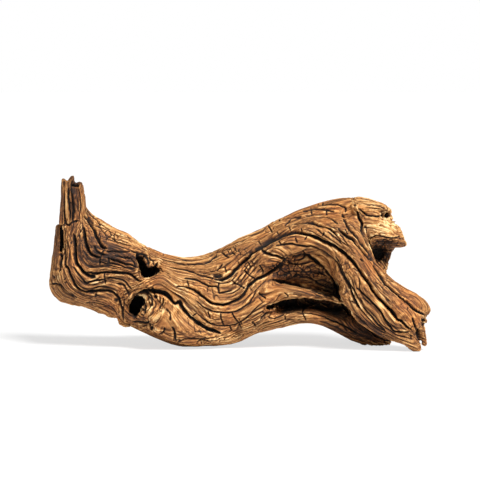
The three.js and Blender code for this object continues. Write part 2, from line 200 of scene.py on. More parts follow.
# Cracks drawn on the front: width and depth, then the points they run through.
CRACKS = (
    (3.0, 6.0, (-26,76), (-19,75), (-14,77), (-9,81), (-4,87), (0,91), (5,95), (9,99), (11,103), (15,105.5),
     (20,108), (25,112), (30,115), (38,119), (45,121.5), (52,123.5), (60,124.5), (68,122.5), (75,120),
     (82,117), (90,112.5), (98,109), (105,104), (112,98), (118,92), (124,85), (130,78), (136,70), (140,62),
     (147,54), (154,46), (160,39), (164,33), (168,31), (174,25), (179,22)),
    (2.6, 4.0, (15,107.5), (20,110.5), (25,114.2), (32,118), (40,121.8), (48,124.2), (56,125.6), (64,125)),
    (1.0, 1.8, (-72,88), (-64,87), (-56,85.5), (-50,83.5), (-45,81.5), (-38,79), (-30,77), (-24,76)),
    (2.3, 4.5, (-65,67.5), (-60,68), (-55,67.5), (-50,65.5), (-45,63), (-40,59), (-35,55), (-30,51),
     (-25,49), (-18,48), (-12,49), (-6,51), (0,54.5), (4,58), (7,63), (9,68), (12,70.5), (16,74), (20,76.5),
     (25,78.5), (31,81), (36,84), (41,87), (45,91), (50,95), (55,97), (60,97), (66,98.5), (72,98), (78,95),
     (81,92), (88,84), (96,74), (101,64), (105,53), (111,44), (120,36), (128,29), (136,22), (146,14),
     (158,10)),
    (2.4, 3.5, (29,45), (34,47.5), (40,50.5), (48,51.5)),
    (6.8, 5.5, (40,47.5), (47,49.8), (60,50.6), (79,49.8), (95,47.0), (109,45)),
    (1.9, 3.0, (35,74.3), (48,71), (64,67.6), (80,62.3), (96,57)),
    (1.5, 2.6, (56,77), (60,79), (64,76), (70,75), (77,72), (83,68.5), (88,66), (95,64), (100,64)),
    (2.8, 5.5, (-112,48), (-108,55), (-100,61), (-92,63), (-84,61.5), (-78,60), (-74,57), (-70,52),
     (-67,50), (-63,51), (-60,45), (-57,41), (-52,36)),
    (2.0, 4.0, (-60,45), (-57,41), (-52,36), (-47,31.5), (-42,28), (-36,24.5), (-30,22), (-24,20),
     (-20,18.5)),
    (2.6, 5.0, (-173,122), (-172.5,110), (-172,100), (-170.5,92), (-167,87), (-164,83), (-160,80),
     (-155,77), (-151,77)),
    (2.0, 3.6, (-160,82), (-154,81), (-148,80.5), (-142,82), (-130,82), (-122,81.5), (-115,80.5), (-111,78),
     (-107,75), (-102,73.5)),
    (2.0, 3.6, (-183,131), (-183,110), (-182.5,90), (-180,87), (-177,80), (-173,71), (-170,66), (-166,62.5),
     (-160,61), (-152,61.5), (-145,62), (-138,62.5), (-132,60.5), (-128,56), (-125,50)),
    (2.8, 4.8, (-163,130), (-162,120), (-160.5,113), (-158,106), (-155,101.5), (-150,99), (-145,98)),
    (2.8, 4.8, (-161,140), (-157,138), (-154,132), (-151,127), (-149,121), (-146,115), (-143,110),
     (-139,107.5)),
    (3.0, 3.0, (-185,131), (-184.6,120), (-184.6,110), (-185.8,101)),
    (1.8, 3.6, (-186,103), (-187,97), (-188,92), (-188.5,83)),
    (1.6, 3.0, (-183,177), (-182.5,150), (-181,137), (-182,130)),
    (2.6, 4.5, (-174.5,177), (-173.5,165), (-172,148), (-174,136)),
    (1.2, 2.0, (-178.5,170), (-178,158), (-177,145), (-177,136)),
    (1.2, 2.2, (-138,104), (-130,104.5), (-122,104), (-114,104)),
    (1.4, 2.6, (-136,97), (-128,95), (-120,92), (-112,90), (-106,86)),
    (1.2, 2.0, (-152,110), (-148,104), (-141,101)), (1.2, 2.0, (-130,99.5), (-120,98.5), (-111,97)),
    (1.1, 1.6, (-168,170), (-166,160), (-165,150), (-168,138)),
    (1.2, 1.8, (-182,133), (-178,131), (-174,134), (-168,136)),
    (2.0, 3.6, (-84,103), (-74,99.5), (-64,98), (-54,97), (-44,98), (-34,100.5), (-26,105)),
    (1.4, 2.4, (-70,94), (-62,92), (-54,91), (-46,91.5), (-38,92), (-31,95), (-24,100)),
    (1.4, 2.2, (-57,76), (-52,76), (-46,75), (-40,72), (-33,69), (-28,68), (-23,67.5), (-22,63), (-21,61),
     (-15,62), (-8,64)),
    (2.0, 3.4, (22,107), (24,104), (28,102), (33,100.5), (40,98.5), (45,96), (49,94.5), (47,91)),
    (1.8, 3.0, (55,133), (62,134), (70,135), (78,134), (85,131), (92,129), (97,125), (101,121)),
    (1.5, 2.4, (38,110), (45,111), (52,112), (58,111), (70,108.5), (75,109), (82,105), (90,100), (97,95),
     (101,92), (105,83), (109,74), (113,65)),
    (2.2, 3.6, (103,129), (108,124), (113,119), (118,116.5), (124,110), (130,103), (136,97), (139,94)),
    (2.0, 3.2, (107,143), (109,138), (112,132), (117,126), (122,120), (127,113), (132,107), (137,101)),
    (2.2, 3.8, (122,145), (124,139), (127,134), (128,126), (130,120), (133,114), (137,106)),
    (2.2, 3.8, (140,90), (145,83), (149,76), (152,71.5), (156,67.5), (161,63), (168,57), (176,51), (181,46),
     (186,42), (192,38)),
    (1.3, 2.2, (124,148), (128,145), (133,141.5), (140,140.5), (147,141)),
    (0.7, 1.0, (131,150), (138,148.5), (145,148), (151,147.5)),
    (1.1, 1.8, (136,116.5), (140,119), (144,120), (149,119), (154.5,117.7), (162,118), (167,119.4)),
    (0.9, 1.4, (140,112), (147,113.5), (154,113), (161,113.5)),
    (0.9, 1.3, (146,109), (156,109.5), (166,110)), (0.7, 1.0, (118,155), (128,154), (138,152.5), (147,151)),
    (1.4, 2.2, (80,152), (90,152.5), (100,152.5), (107,151), (110,149), (110,145)),
    (1.3, 2.0, (66,145), (74,147), (82,147.5), (90,147), (98,145)),
    (1.2, 1.8, (70,141), (80,142), (88,141), (95,138.5), (102,133)),
    (1.2, 1.8, (46,131), (54,138), (64,140)), (1.1, 1.6, (92,124), (100,118), (106,112)),
    (1.5, 2.6, (110,75), (114,66), (116,60), (119,52), (124,45)),
    (1.5, 2.6, (122,66), (130,58), (138,50), (147,40), (150,33), (156,25), (161,20), (170,19), (176,19)),
    (1.3, 2.0, (128,45), (138,34), (145,26), (152,20)),
    (1.3, 2.2, (100,98), (105,88), (110,76), (117,66), (122,58)),
    (1.4, 2.2, (68,65), (76,62), (84,58), (90,56.5), (98,54)),
    (1.8, 3.0, (180,35), (184,25), (187,15), (189,8)), (1.4, 2.2, (190,34), (193,25), (194,14)),
    (1.5, 2.2, (60,41), (70,40.5), (80,39), (88,36), (95,32), (105,28), (115,22), (122,18)),
    (1.3, 2.0, (84,31), (96,26), (108,20), (118,14)), (1.6, 2.4, (42,47), (34,41), (26,35), (22,33)),
    (1.2, 1.8, (-160,148), (-157,141), (-152,134)),
    (1.2, 1.8, (-158,146), (-150,138), (-143,132), (-136,127)),
    (1.2, 1.8, (-132,118), (-127,114), (-120,112), (-112,110)),
    (1.3, 2.0, (-138,92), (-128,91), (-120,88), (-110,86)),
    (1.2, 1.8, (-128,70), (-122,69), (-118,64), (-115,58)),
    (1.4, 2.0, (-174,88), (-168,80), (-163,73), (-160,70), (-156,71.5), (-151,73.5), (-145,73.5),
     (-141,75)),
    (1.2, 1.8, (-140,76), (-130,75.5), (-122,74), (-117,69), (-113,65)),
    (1.3, 2.0, (-128,60), (-124,50), (-122,40), (-121,32)),
    (1.3, 1.8, (-160,49.5), (-150,49.5), (-142,47.5), (-135,45), (-130,41), (-128,37)),
    (1.5, 2.2, (-197,70), (-190,69), (-184,64), (-176,58), (-170,55)),
    (1.2, 1.6, (-44,52), (-38,46), (-30,42), (-22,40.5), (-12,40), (-4,41.5), (3,45), (10,50), (15,58),
     (17,64)),
    (1.1, 1.5, (-48,42), (-40,35), (-30,28), (-20,26), (-10,26), (-2,28), (8,35), (18,46), (26,52)),
    (1.3, 2.0, (-66,8), (-60,11), (-52,12.5), (-44,12), (-36,10.5), (-30,9)),
    (1.8, 2.6, (-70,25), (-68,20), (-67.5,15), (-67,11), (-60,11)),
    (1.6, 2.4, (-112,30), (-104,30), (-98,28), (-90,27)),
    (1.3, 2.2, (-113,104), (-105,103), (-101,101), (-99,96)), (1.5, 2.6, (-99,52), (-97.5,46), (-98,39)),
    (1.5, 2.6, (-93,59), (-91,53), (-92,47), (-94,42)),
    (3.4, 8.0, (-106,103), (-104.5,98), (-103,93), (-101.5,87), (-98,82), (-96,77)),
    (2.6, 6.0, (-97,79), (-92,82), (-89,87), (-86,91)), (1.2, 2.2, (-99,100), (-96,95), (-95,89)),
    (1.2, 2.0, (-94,97), (-91,93), (-90,89)), (1.2, 2.0, (-114,99), (-110,93), (-108,86)),
    (1.4, 2.4, (-90,47), (-91.5,53), (-95,57)), (1.4, 2.6, (-97,41), (-101,46), (-102,52)),
    (1.2, 2.0, (-84,45), (-80,50), (-80,56)), (1.1, 1.8, (-77,44), (-73,40), (-72,32)),
    (1.4, 2.4, (-98,30), (-94,26), (-92,21)), (1.2, 2.0, (-90,19), (-85,17.5), (-80,19), (-78,24)),
)

# Short breaks across the grain on the front.
CHECK_WIDTH, CHECK_DEPTH = 0.9, 1.7
CHECKS = (
    ((-21,106), (-16,101), (-11,97)), ((-2,94), (-1,91)), ((-16,88), (-14,82)),
    ((-8,74), (-4,71), (0,69), (6,65)), ((-24,84), (-18,91)), ((-22,72), (-22,66)),
    ((-9,41), (-6,36), (-3,31), (0,25), (2,23)), ((-20,40), (-19,33), (-16,25)), ((-10,25), (-8,21)),
    ((13,30), (17,26)), ((-49,36), (-45,39)), ((20,61), (27,55)), ((5,85), (11,79), (17,75)),
    ((20,90), (24,84), (24,81)), ((19,116), (23,110)), ((24,106), (30,101)), ((81,155), (81,152)),
    ((90,148), (91,140)), ((40,137), (42,135)), ((50,133), (53,125)), ((64,129), (65,125)),
    ((38,126), (41,121)), ((40,116), (43,111)), ((70,120), (68,116)), ((104,122), (107,119)),
    ((47,61), (50,58), (50,56)), ((56,60), (62,57.5)), ((65,48), (67,44), (65,41), (69,32)),
    ((47,38), (48,32)), ((36,33), (38,36), (46,39)), ((-141,82), (-141,75), (-140,70)),
    ((-141,106), (-144,101), (-146,94), (-146,90)), ((-33,41), (-31,34)), ((-55,74), (-53,68)),
    ((86,157), (86,153)), ((74,148), (75,143)), ((110,128), (113,123)), ((58,118), (60,113)),
    ((88,124), (86,120)), ((66,104), (69,99)), ((30,130), (33,125)), ((126,97), (129,94)),
    ((118,87), (122,84)), ((-150,61), (-151,56)), ((-137,98), (-136,93)), ((98,60), (101,57)),
    ((116,52), (120,49)),
)

# Holes on the front: centre, half width, half height and depth.
PITS = (
    (-108, 48, 6.5, 9.5, 9.0), (-101, 56, 7.0, 4.0, 6.0), (-96, 80.5, 5.5, 5.0, 8.0),
    (-23, 79, 5.5, 2.4, 3.2), (58, 76.5, 3.2, 1.5, 3.0), (-87.6, 57, 2.0, 2.2, 3.0),
    (-97.5, 28.8, 2.6, 1.8, 3.4), (-92, 23.7, 1.8, 2.2, 3.0), (120, 152, 1.8, 1.2, 2.4),
    (-98, 60, 5.0, 2.6, 4.5), (145, 101, 9.0, 7.5, 4.5), (154.5, 141.3, 7.5, 2.0, 5.0),
    (131, 130, 1.6, 1.4, 2.4), (-176, 154.5, 0.9, 1.0, 1.6), (-154, 77.5, 3.4, 2.0, 4.0),
    (192, 32, 2.5, 2.2, 3.0), (-129, 53, 3.0, 3.0, 2.2), (-170, 173, 3.0, 1.8, 3.5),
)

# Wood that grows in from the rim of a knot hole: centre, half width, half height and height.
RIMS = (
    (-99.5, 42, 3.5, 4.5, 4.5), (-113.5, 57, 4.5, 3.0, 4.0), (-103, 36.5, 3.0, 2.5, 3.0),
    (-92, 91, 4.0, 3.5, 5.0), (-97, 96, 2.5, 3.0, 3.0), (-107, 84, 2.5, 4.0, 3.5), (-85, 91, 4.0, 4.5, 4.5),
    (-98, 101, 3.0, 3.0, 3.5),
)

# Knots, where the grain turns in rings: centre and radius.
KNOTS = ((-103, 47, 25.0),)

# Rounded ridges on the front: width and height, then the points they run through.
RIDGES = (
    (4.6, 3.4, (-93,57), (-90,50), (-91,45), (-94,38)), (4.0, 3.2, (-100,54), (-98,49), (-97,43)),
    (5.0, 1.8, (-112,57), (-104,64), (-94,67.5), (-84,66), (-74,62)),
    (9.0, 3.4, (-94,33), (-86,36), (-79,40), (-76,46)), (7.0, 2.6, (-88,25), (-82,22.5)),
    (6.0, 1.8, (-66,46), (-72,38), (-80,30)), (4.0, 1.6, (-110,52), (-103,58), (-94,60), (-88,59)),
    (4.0, 1.6, (-100,96), (-96,91), (-94,86)), (5.0, 1.4, (-128,45), (-121,38), (-119,30)),
    (5.5, 1.6, (150,57), (156,50), (161,45), (168,42), (175,43)), (4.5, 1.4, (165,36), (171,39), (175,37)),
    (7.0, 1.8, (84,97), (93,88), (101,76), (106,64), (111,53), (120,42)),
    (6.0, 1.4, (-26,88), (-20,85), (-14,84)), (5.0, 1.2, (30,57), (48,62), (66,60), (84,54)),
)

# Patches broken into small blocks: centre, half width, half height, strength.
BLOCKS = (
    (50, 85, 19, 9, 1.0), (72, 82, 20, 8, 0.9), (-6, 103, 17, 7, 0.8), (10, 88, 9, 10, 0.6),
    (-2, 71, 12, 6, 0.5), (-137, 121, 14, 6, 0.8), (80, 64, 18, 3, 0.4), (-116, 98, 9, 5, 0.4),
    (152, 112, 14, 5, 0.8),
)

# Paler (+) and darker (-) places, partly the wood's own tone and partly painted shade under overhangs, in gaps
# and holes, and painted highlight on lit faces and edges: centre, half width, half height, amount.
TONES_AND_PAINTED_LIGHT = (
    (150, 129, 13, 8, 0.6), (134, 151, 18, 6, 0.35), (-92, 37, 7, 6, 0.4), (-72, 34, 9, 15, 0.3),
    (-62, 64, 22, 6, 0.22), (-35, 38, 18, 9, 0.16), (-10, 15, 25, 6, 0.1), (45, 62, 25, 5, 0.16),
    (95, 150, 25, 8, 0.12), (-35, 90, 20, 6, 0.15), (88, 92, 9, 14, 0.16), (60, 82, 27, 10, -0.55),
    (48, 76, 14, 6, -0.35), (135, 18, 26, 9, -0.6), (112, 25, 32, 10, -0.35), (150, 99, 13, 9, -0.9),
    (152, 113, 15, 4, -0.5), (-103, 94, 8, 9, -0.3), (-113, 92, 9, 12, -0.4), (-130, 97, 17, 10, -0.55),
    (-148, 56, 18, 5, -0.16), (-173, 155, 3.5, 24, -0.8), (-163, 150, 3, 20, 0.35),
    (-196, 115, 5, 18, -0.35), (-150, 105, 26, 17, -0.55), (-150, 60, 34, 12, -0.16),
    (-10, 105, 16, 6, -0.16), (80, 62, 18, 4, -0.15), (-106, 44, 7, 10, -0.3), (-150, 137, 7, 4, 0.3),
    (-136, 129, 8, 4, 0.3), (-122, 121, 8, 4, 0.3), (-108, 112, 9, 4, 0.25), (-84, 36, 9, 7, 0.3),
    (-84, 23, 6, 4, 0.35), (-176, 155, 11, 26, -0.22), (-180, 155, 2, 22, 0.3), (-155, 85, 30, 25, -0.18),
    (-52, 53, 20, 10, 0.2), (-168, 176, 6, 4, -0.6), (-113, 43, 7, 13, -0.55), (-99, 35, 5, 6, -0.45),
    (-97, 91, 7, 8, -0.3), (-80, 78, 12, 6, -0.15),
)


def blend(low, high, values):
    """0 at low, 1 at high, and smooth in between; low may be the greater."""
    share = np.clip((values - low) / (high - low), 0.0, 1.0)
    return share * share * (3.0 - 2.0 * share)


def at_least(least, share):
    """A share of 0 to 1, squeezed into least to 1."""
    return least + (1.0 - least) * share


def scramble(values):
    """Whole numbers turned into unrelated ones, the same on every run."""
    for _ in range(2):
        values = ((values >> 16) ^ values) * 0x45D9F3B & 0x7FFFFFFF
    return (values >> 16) ^ values


def cell_code(cell, seed):
    """A number for each cell of a lattice, unrelated to those of its neighbours."""
    mixed = cell[:, 0] * 73856093 ^ cell[:, 1] * 19349663 ^ cell[:, 2] * 83492791 ^ seed * 951274213
    return scramble(mixed & 0x7FFFFFFF)


def code_part(code, part):
    """One of the three values that a cell's code holds, from 0 to 1."""
    return (code >> 10 * part & 1023) / 1023.0


def noise(points, seed):
    """Smooth noise, about -1 to 1, over a lattice of unit cells."""
    base = np.floor(points).astype(np.int64)
    part = (points - base).T
    fade = part * part * part * (part * (part * 6.0 - 15.0) + 10.0)
    total = np.zeros(len(points))
    for corner in range(8):
        step = (corner & 1, corner >> 1 & 1, corner >> 2 & 1)
        code = cell_code(base + step, seed)
        slope = 0.0
        weight = 1.0
        for axis in range(3):
            slope = slope + (2.0 * code_part(code, axis) - 1.0) * (part[axis] - step[axis])
            weight = weight * (fade[axis] if step[axis] else 1.0 - fade[axis])
        total += slope * weight
    return total * 1.5


def layers(points, seed, count):
    """Noise at count scales, each half as large and half as strong as the last."""
    return sum(noise(points * 2.0 ** i, seed + i) / 2.0 ** i for i in range(count))


def blocks(points, seed):
    """How much farther each point is from the second nearest seed than from the nearest: 0 between them."""
    base = np.floor(points).astype(np.int64)
    first = np.full(len(points), 9.0)
    second = first.copy()
    for du in (-1, 0, 1):
        for dw in (-1, 0, 1):
            cell = np.column_stack((base + (du, dw), np.zeros(len(points), np.int64)))
            code = cell_code(cell, seed)
            seat = cell[:, :2] + np.column_stack((code_part(code, 0), code_part(code, 1)))
            gap = np.hypot(*(points - seat).T)
            second = np.minimum(second, np.maximum(first, gap))
            first = np.minimum(first, gap)
    return second - first


class Sheet:
    """A thin plate bent through given heights at given points of the drawing plane."""

    def __init__(self, lines, slack):
        points = np.array([p for line in lines for p in line[1:]], float) / SHEET_UNIT
        heights = np.array([line[0] for line in lines for _ in line[1:]], float)
        count = len(points)
        bend = self.kernel(points, points) + slack * np.eye(count)
        plane = np.column_stack((np.ones(count), points))
        system = np.block([[bend, plane], [plane.T, np.zeros((3, 3))]])
        weights = np.linalg.solve(system, np.concatenate((heights, np.zeros(3))))
        cols, rows = np.meshgrid(*(np.arange(n) for n in GRID_SHAPE), indexing="ij")
        spots = (np.column_stack((cols.ravel(), rows.ravel())) * GRID_STEP + GRID_LOW) / SHEET_UNIT
        flat = np.column_stack((np.ones(len(spots)), spots)) @ weights[count:]
        self.grid = (self.kernel(spots, points) @ weights[:count] + flat).reshape(GRID_SHAPE)

    @staticmethod
    def kernel(left, right):
        """How a load at each right point bends the plate at each left point."""
        gap = ((left[:, None] - right[None]) ** 2).sum(2)
        return gap * np.log(gap + 1e-12)

    def at(self, spots):
        """The plate's height at the spots, between the points of its grid."""
        place = np.clip((spots - GRID_LOW) / GRID_STEP, 0.0, np.array(GRID_SHAPE) - 1.001)
        low = np.floor(place).astype(int)
        (fu, fw), (iu, iw), grid = (place - low).T, low.T, self.grid
        left = grid[iu, iw] * (1 - fw) + grid[iu, iw + 1] * fw
        right = grid[iu + 1, iw] * (1 - fw) + grid[iu + 1, iw + 1] * fw
        return left * (1 - fu) + right * fu


def curve(points, seed):
    """A smooth curve through the points, with a little unevenness."""
    points = np.array(points, float)
    padded = np.vstack((2 * points[0] - points[1], points, 2 * points[-1] - points[-2]))
    out = []
    for i in range(len(points) - 1):
        a, b, c, d = padded[i:i + 4]
        count = max(2, round(float(np.hypot(*(c - b))) / CURVE_STEP))
        t = (np.arange(count) / count)[:, None]
        square = 2 * a - 5 * b + 4 * c - d
        cube = 3 * b - a - 3 * c + d
        out.append(0.5 * (2 * b + (c - a) * t + square * t ** 2 + cube * t ** 3))
    path = np.vstack(out + [points[-1:]])
    where = np.column_stack((path / CURVE_SWAY_SIZE, np.full(len(path), 0.5)))
    return path + CURVE_SWAY * np.column_stack((noise(where, seed), noise(where, seed + 1)))


def near(spots, path, reach):
    """The spots within reach of the path, how far off they are, and the share of the path passed there."""
    gap = np.full(len(spots), reach)
    share = np.zeros(len(spots))
    run = 8
    for start in range(0, len(path) - 1, run):
        a = path[start:start + run + 1]
        b, a = a[1:], a[:-1]
        low = np.minimum(a.min(0), b.min(0)) - reach
        high = np.maximum(a.max(0), b.max(0)) + reach
        hit = np.nonzero(((spots > low) & (spots < high)).all(1))[0]
        if not len(hit):
            continue
        side = b - a
        along = np.clip(((spots[hit][:, None] - a) * side).sum(2) / (side ** 2).sum(1), 0.0, 1.0)
        far = np.hypot(*np.moveaxis(spots[hit][:, None] - a - along[..., None] * side, 2, 0))
        pick = far.argmin(1)
        row = np.arange(len(hit))
        closer = far[row, pick] < gap[hit]
        gap[hit[closer]] = far[row, pick][closer]
        share[hit[closer]] = ((start + pick + along[row, pick]) / (len(path) - 1))[closer]
    hit = np.nonzero(gap < reach)[0]
    return hit, gap[hit], share[hit]


def to_end(share, taper):
    """0 at both ends of a path, rising to 1."""
    return np.clip(np.minimum(share, 1.0 - share) * taper, 0.0, 1.0)


def mound(spots, centre, half):
    """1 at the centre, falling smoothly to about 0 past the half sizes."""
    return np.exp(-(((spots - centre) / half) ** 2).sum(1))


def groove(values, width):
    """1 where the values cross zero, falling to 0 at a few widths from there."""
    return np.exp(-(values / width) ** 2)


def with_modifier(mesh, kind, **settings):
    """The mesh with a modifier applied."""
    ob = bpy.data.objects.new("work", mesh)
    bpy.context.scene.collection.objects.link(ob)
    modifier = ob.modifiers.new("step", kind)
    for name, value in settings.items():
        setattr(modifier, name, value)
    changed = bpy.data.meshes.new_from_object(ob.evaluated_get(bpy.context.evaluated_depsgraph_get()))
    bpy.data.objects.remove(ob)
    return changed


def read(collection, name, width):
    """A property of every item, as an array with width columns."""
    values = np.empty(len(collection) * width, np.int32 if name == "vertices" else np.float32)
    collection.foreach_get(name, values)
    return values.reshape(-1, width) if width > 1 else values


def spread(values, edges):
    """The mean of each vertex's neighbours."""
    count = len(values)
    flat = values.reshape(count, -1)
    a, b = edges.T
    share = np.bincount(a, minlength=count) + np.bincount(b, minlength=count)
    sums = [np.bincount(a, col[b], count) + np.bincount(b, col[a], count) for col in flat.T]
    return (np.column_stack(sums) / np.maximum(share, 1)[:, None]).reshape(values.shape)


def sky_rays():
    """Directions spread evenly over a sphere."""
    rays = []
    for i in range(SKY_RAYS):
        z = 1.0 - (2.0 * i + 1.0) / SKY_RAYS
        turn = i * math.pi * (3.0 - math.sqrt(5.0))
        ring = math.sqrt(1.0 - z * z)
        rays.append(Vector((ring * math.cos(turn), ring * math.sin(turn), z)))
    return rays


def openness(solid, spots):
    """How much of its surroundings each spot sees, from 0 deep in a hole to 1 in the open."""
    bm = bmesh.new()
    bm.from_mesh(solid)
    tree = BVHTree.FromBMesh(bm)
    bm.free()
    coarse = with_modifier(solid.copy(), "REMESH", mode="VOXEL", voxel_size=SKY_VOXEL * MM)
    rays = sky_rays()
    places = KDTree(len(coarse.vertices))
    values = np.empty(len(coarse.vertices))
    for i, vertex in enumerate(coarse.vertices):
        normal = vertex.normal
        start = vertex.co + normal * MM
        places.insert(vertex.co, i)
        seen = total = 0.0
        for ray in rays:
            facing = ray.dot(normal)
            if facing > 0.15:
                total += facing
                if tree.ray_cast(start, ray, SKY_REACH * MM)[0] is None:
                    seen += facing
        values[i] = seen / total
    places.balance()
    means = [np.mean([values[i] for _, i, _ in places.find_n(spot, 4)]) for spot in spots]
    return np.array(means, np.float32)


def base_mesh():
    """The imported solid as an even, rounded skin of small quads, with its openness."""
    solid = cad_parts[NODE].data.copy()
    bm = bmesh.new()
    bm.from_mesh(solid)
    bmesh.ops.remove_doubles(bm, verts=bm.verts, dist=0.02 * MM)
    bm.to_mesh(solid)
    bm.free()
    skin = with_modifier(solid.copy(), "REMESH", mode="VOXEL", voxel_size=VOXEL * MM)
    edges = read(skin.edges, "vertices", 2)
    spots = read(skin.vertices, "co", 3).astype(float) / MM
    spire = blend(*SPIRE_THIN, spots[:, 2]) * (spots[:, 0] < SPIRE_SIDE)
    thin = np.maximum(spire, blend(*HEAD_THIN, spots[:, 0]))[:, None]
    for turn in range(SMOOTH_TURNS):
        spots += SMOOTH * (1.0 - THIN_SPARED * thin) * (spread(spots, edges) - spots)
        if turn < SWELL_TURNS:
            spots -= SWELL * (1.0 - THIN_SPARED * thin) * (spread(spots, edges) - spots)
    skin.vertices.foreach_set("co", (spots * MM).ravel())
    skin.update()
    store(skin, "open", openness(solid, spots * MM))
    return with_modifier(skin, "SUBSURF", levels=1, render_levels=1)


def store(mesh, name, values):
    """Keeps values, one number or one vector for each vertex, where the material reads them."""
    kind, key = ("FLOAT", "value") if values.ndim == 1 else ("FLOAT_VECTOR", "vector")
    mesh.attributes.new(name, kind, "POINT").data.foreach_set(key, values.astype(np.float32).ravel())


def drawing(points):
    """Where points fall on the drawing plane."""
    x, y, z = points[:, 0], points[:, 1], points[:, 2] - PLANE_Z
    depth = y * math.cos(CAMERA_RISE) - z * math.sin(CAMERA_RISE)
    near_by = CAMERA_AWAY / (CAMERA_AWAY + depth)
    rise = z * math.cos(CAMERA_RISE) + y * math.sin(CAMERA_RISE)
    return np.column_stack((x * near_by + PLANE_U, rise * near_by + PLANE_W))


def grain_field(spots, depth, front):
    """Across, through and along the grain at each point."""
    across = Sheet(GRAIN, 0.02).at(spots)
    along = Sheet(RIBS, 0.05).at(spots)
    u, w = spots.T
    # The right lobe of the head, past a sloping edge, has its own nearly level grain.
    past = ((u - 122.0) * 47 + (w - 147.0) * 18) / 50.3
    lobe = blend(-2.0, 4.0, past) * blend(100.0, 108.0, w)
    across += lobe * (100.0 + (w - 140.0) + 0.16 * (u - 120.0) - across)
    along += lobe * (u + 300.0 - along)
    for cu, cw, radius in KNOTS:
        away = np.hypot(u - cu, w - cw)
        turn = (1.0 - blend(radius * 0.55, radius * 1.05, away)) * front
        across += turn * (away * 1.3 - across)
        along += turn * (16.0 * np.arctan2(w - cw, u - cu) - along)
    return np.column_stack((across, depth, along))


class Skin:
    """The vertices of the skin, what is known of each, and the relief that is built up on them."""

    def __init__(self, mesh):
        self.points = read(mesh.vertices, "co", 3).astype(float) / MM
        self.edges = read(mesh.edges, "vertices", 2)
        self.normals = read(mesh.vertex_normals, "vector", 3).astype(float)
        for _ in range(4):
            self.normals = self.normals + spread(self.normals, self.edges)
            self.normals /= np.linalg.norm(self.normals, axis=1)[:, None]
        self.spots = drawing(self.points)
        self.front = blend(*FRONT, -self.normals[:, 1])
        self.grain = grain_field(self.spots, self.points[:, 1], self.front)
        self.across, self.through, self.along = self.grain.T
        self.spire = blend(*SPIRE_GREY, self.points[:, 2]) * (self.points[:, 0] < SPIRE_SIDE)
        self.hollow = 1.0 - blend(*HOLLOW, read(mesh.attributes["open"].data, "value", 1))
        self.inside = blend(*INSIDE, self.hollow) * (self.points[:, 1] < 0.0)
        self.rest = 1.0 - DRAWN_INSTEAD * self.front
        self.height, self.crack_shade, self.rough, self.shade = np.zeros((4, len(self.points)))

    def stretched(self, wide, long, seed, count=1):
        """Noise that changes over wide mm across the grain and long mm along it."""
        place = np.column_stack((self.across / wide, self.through / wide, self.along / long))
        return layers(place, seed, count)

    def patches(self, low, high, wide, long, seed):
        """Patches of stretched noise: 0 where it is below low, 1 where it is above high."""
        return blend(low, high, self.stretched(wide, long, seed))

    # Paints shade: cracks, grooves, holes and hollows grow darker, up to near black.
    def paint_shade(self, values):
        self.crack_shade = np.maximum(self.crack_shade, values)


def add_strands(skin):
    """Lets the grain sway, then raises broad strands on it."""
    skin.sway = skin.stretched(16.0, 40.0, seed=11)
    skin.across = skin.across + 2.2 * skin.sway
    skin.through = skin.through + 1.6 * skin.stretched(14.0, 45.0, seed=12)
    for rise, wide, long, seed in STRANDS:
        skin.height += rise * skin.stretched(wide, long, seed)


def add_splits(skin):
    """Long splits that run through the whole piece; on the front the drawn cracks take their place."""
    split = skin.stretched(17.0, 170.0, seed=31)
    opened = skin.patches(-0.15, 0.25, 30.0, 90.0, seed=32) * skin.rest
    close = np.abs(split) / SPLIT_WIDTH
    slope = SLOPE_DEPTH * np.exp(-np.abs(split) / SLOPE_WIDTH)
    skin.height -= opened * (SPLIT_DEPTH * np.exp(-close ** 2) + slope)
    skin.paint_shade(opened * groove(close, 1.1))


def add_grooves(skin):
    """Grooves between strands, then finer ones on the strands."""
    for wide, long, width, depth, darkness, seed in GROOVES:
        value = skin.stretched(wide, long, seed)
        cut = groove(value, width) * skin.patches(-0.35, 0.35, 25.0, 60.0, seed + 10)
        skin.height -= depth * cut - 0.3 * depth * np.abs(value)
        skin.paint_shade(darkness * cut)


def add_breaks(skin):
    """Breaks across the grain."""
    torn = skin.patches(0.05, 0.4, 18.0, 30.0, seed=52) * skin.patches(-0.1, 0.3, 6.0, 14.0, seed=53)
    cut = groove(skin.stretched(13.0, 7.0, seed=51), BREAK_WIDTH) * torn
    skin.height -= BREAK_DEPTH * cut
    skin.paint_shade(0.7 * cut)


def add_blocks(skin):
    """Small blocks: in the drawn patches on the front, and in random patches elsewhere."""
    for cu, cw, hu, hw, amount in BLOCKS:
        patch = amount * mound(skin.spots, (cu, cw), (hu, hw)) * skin.front ** 2
        skin.rough = np.maximum(skin.rough, patch)
    random = 0.8 * (skin.patches(0.32, 0.6, 40.0, 60.0, seed=61) * skin.rest)
    skin.rough = np.maximum(skin.rough, random)
    place = np.column_stack((skin.across / 5.6 + skin.through / 9.0, skin.along / 7.5))
    cut = groove(blocks(place, seed=62), 0.15) * blend(*BLOCK_STRENGTH, random)
    sways = [noise(skin.points / 6.0, seed) for seed in (64, 65)]
    place = skin.spots / 5.8 + 0.35 * np.column_stack(sways)
    drawn = groove(blocks(place, seed=66), 0.13)
    cut = np.maximum(cut, drawn * blend(*BLOCK_STRENGTH, skin.rough - random))
    skin.height += skin.rough * (BLOCK_RISE * skin.stretched(5.0, 7.0, seed=63)) - BLOCK_DEPTH * cut
    skin.paint_shade(0.95 * cut)


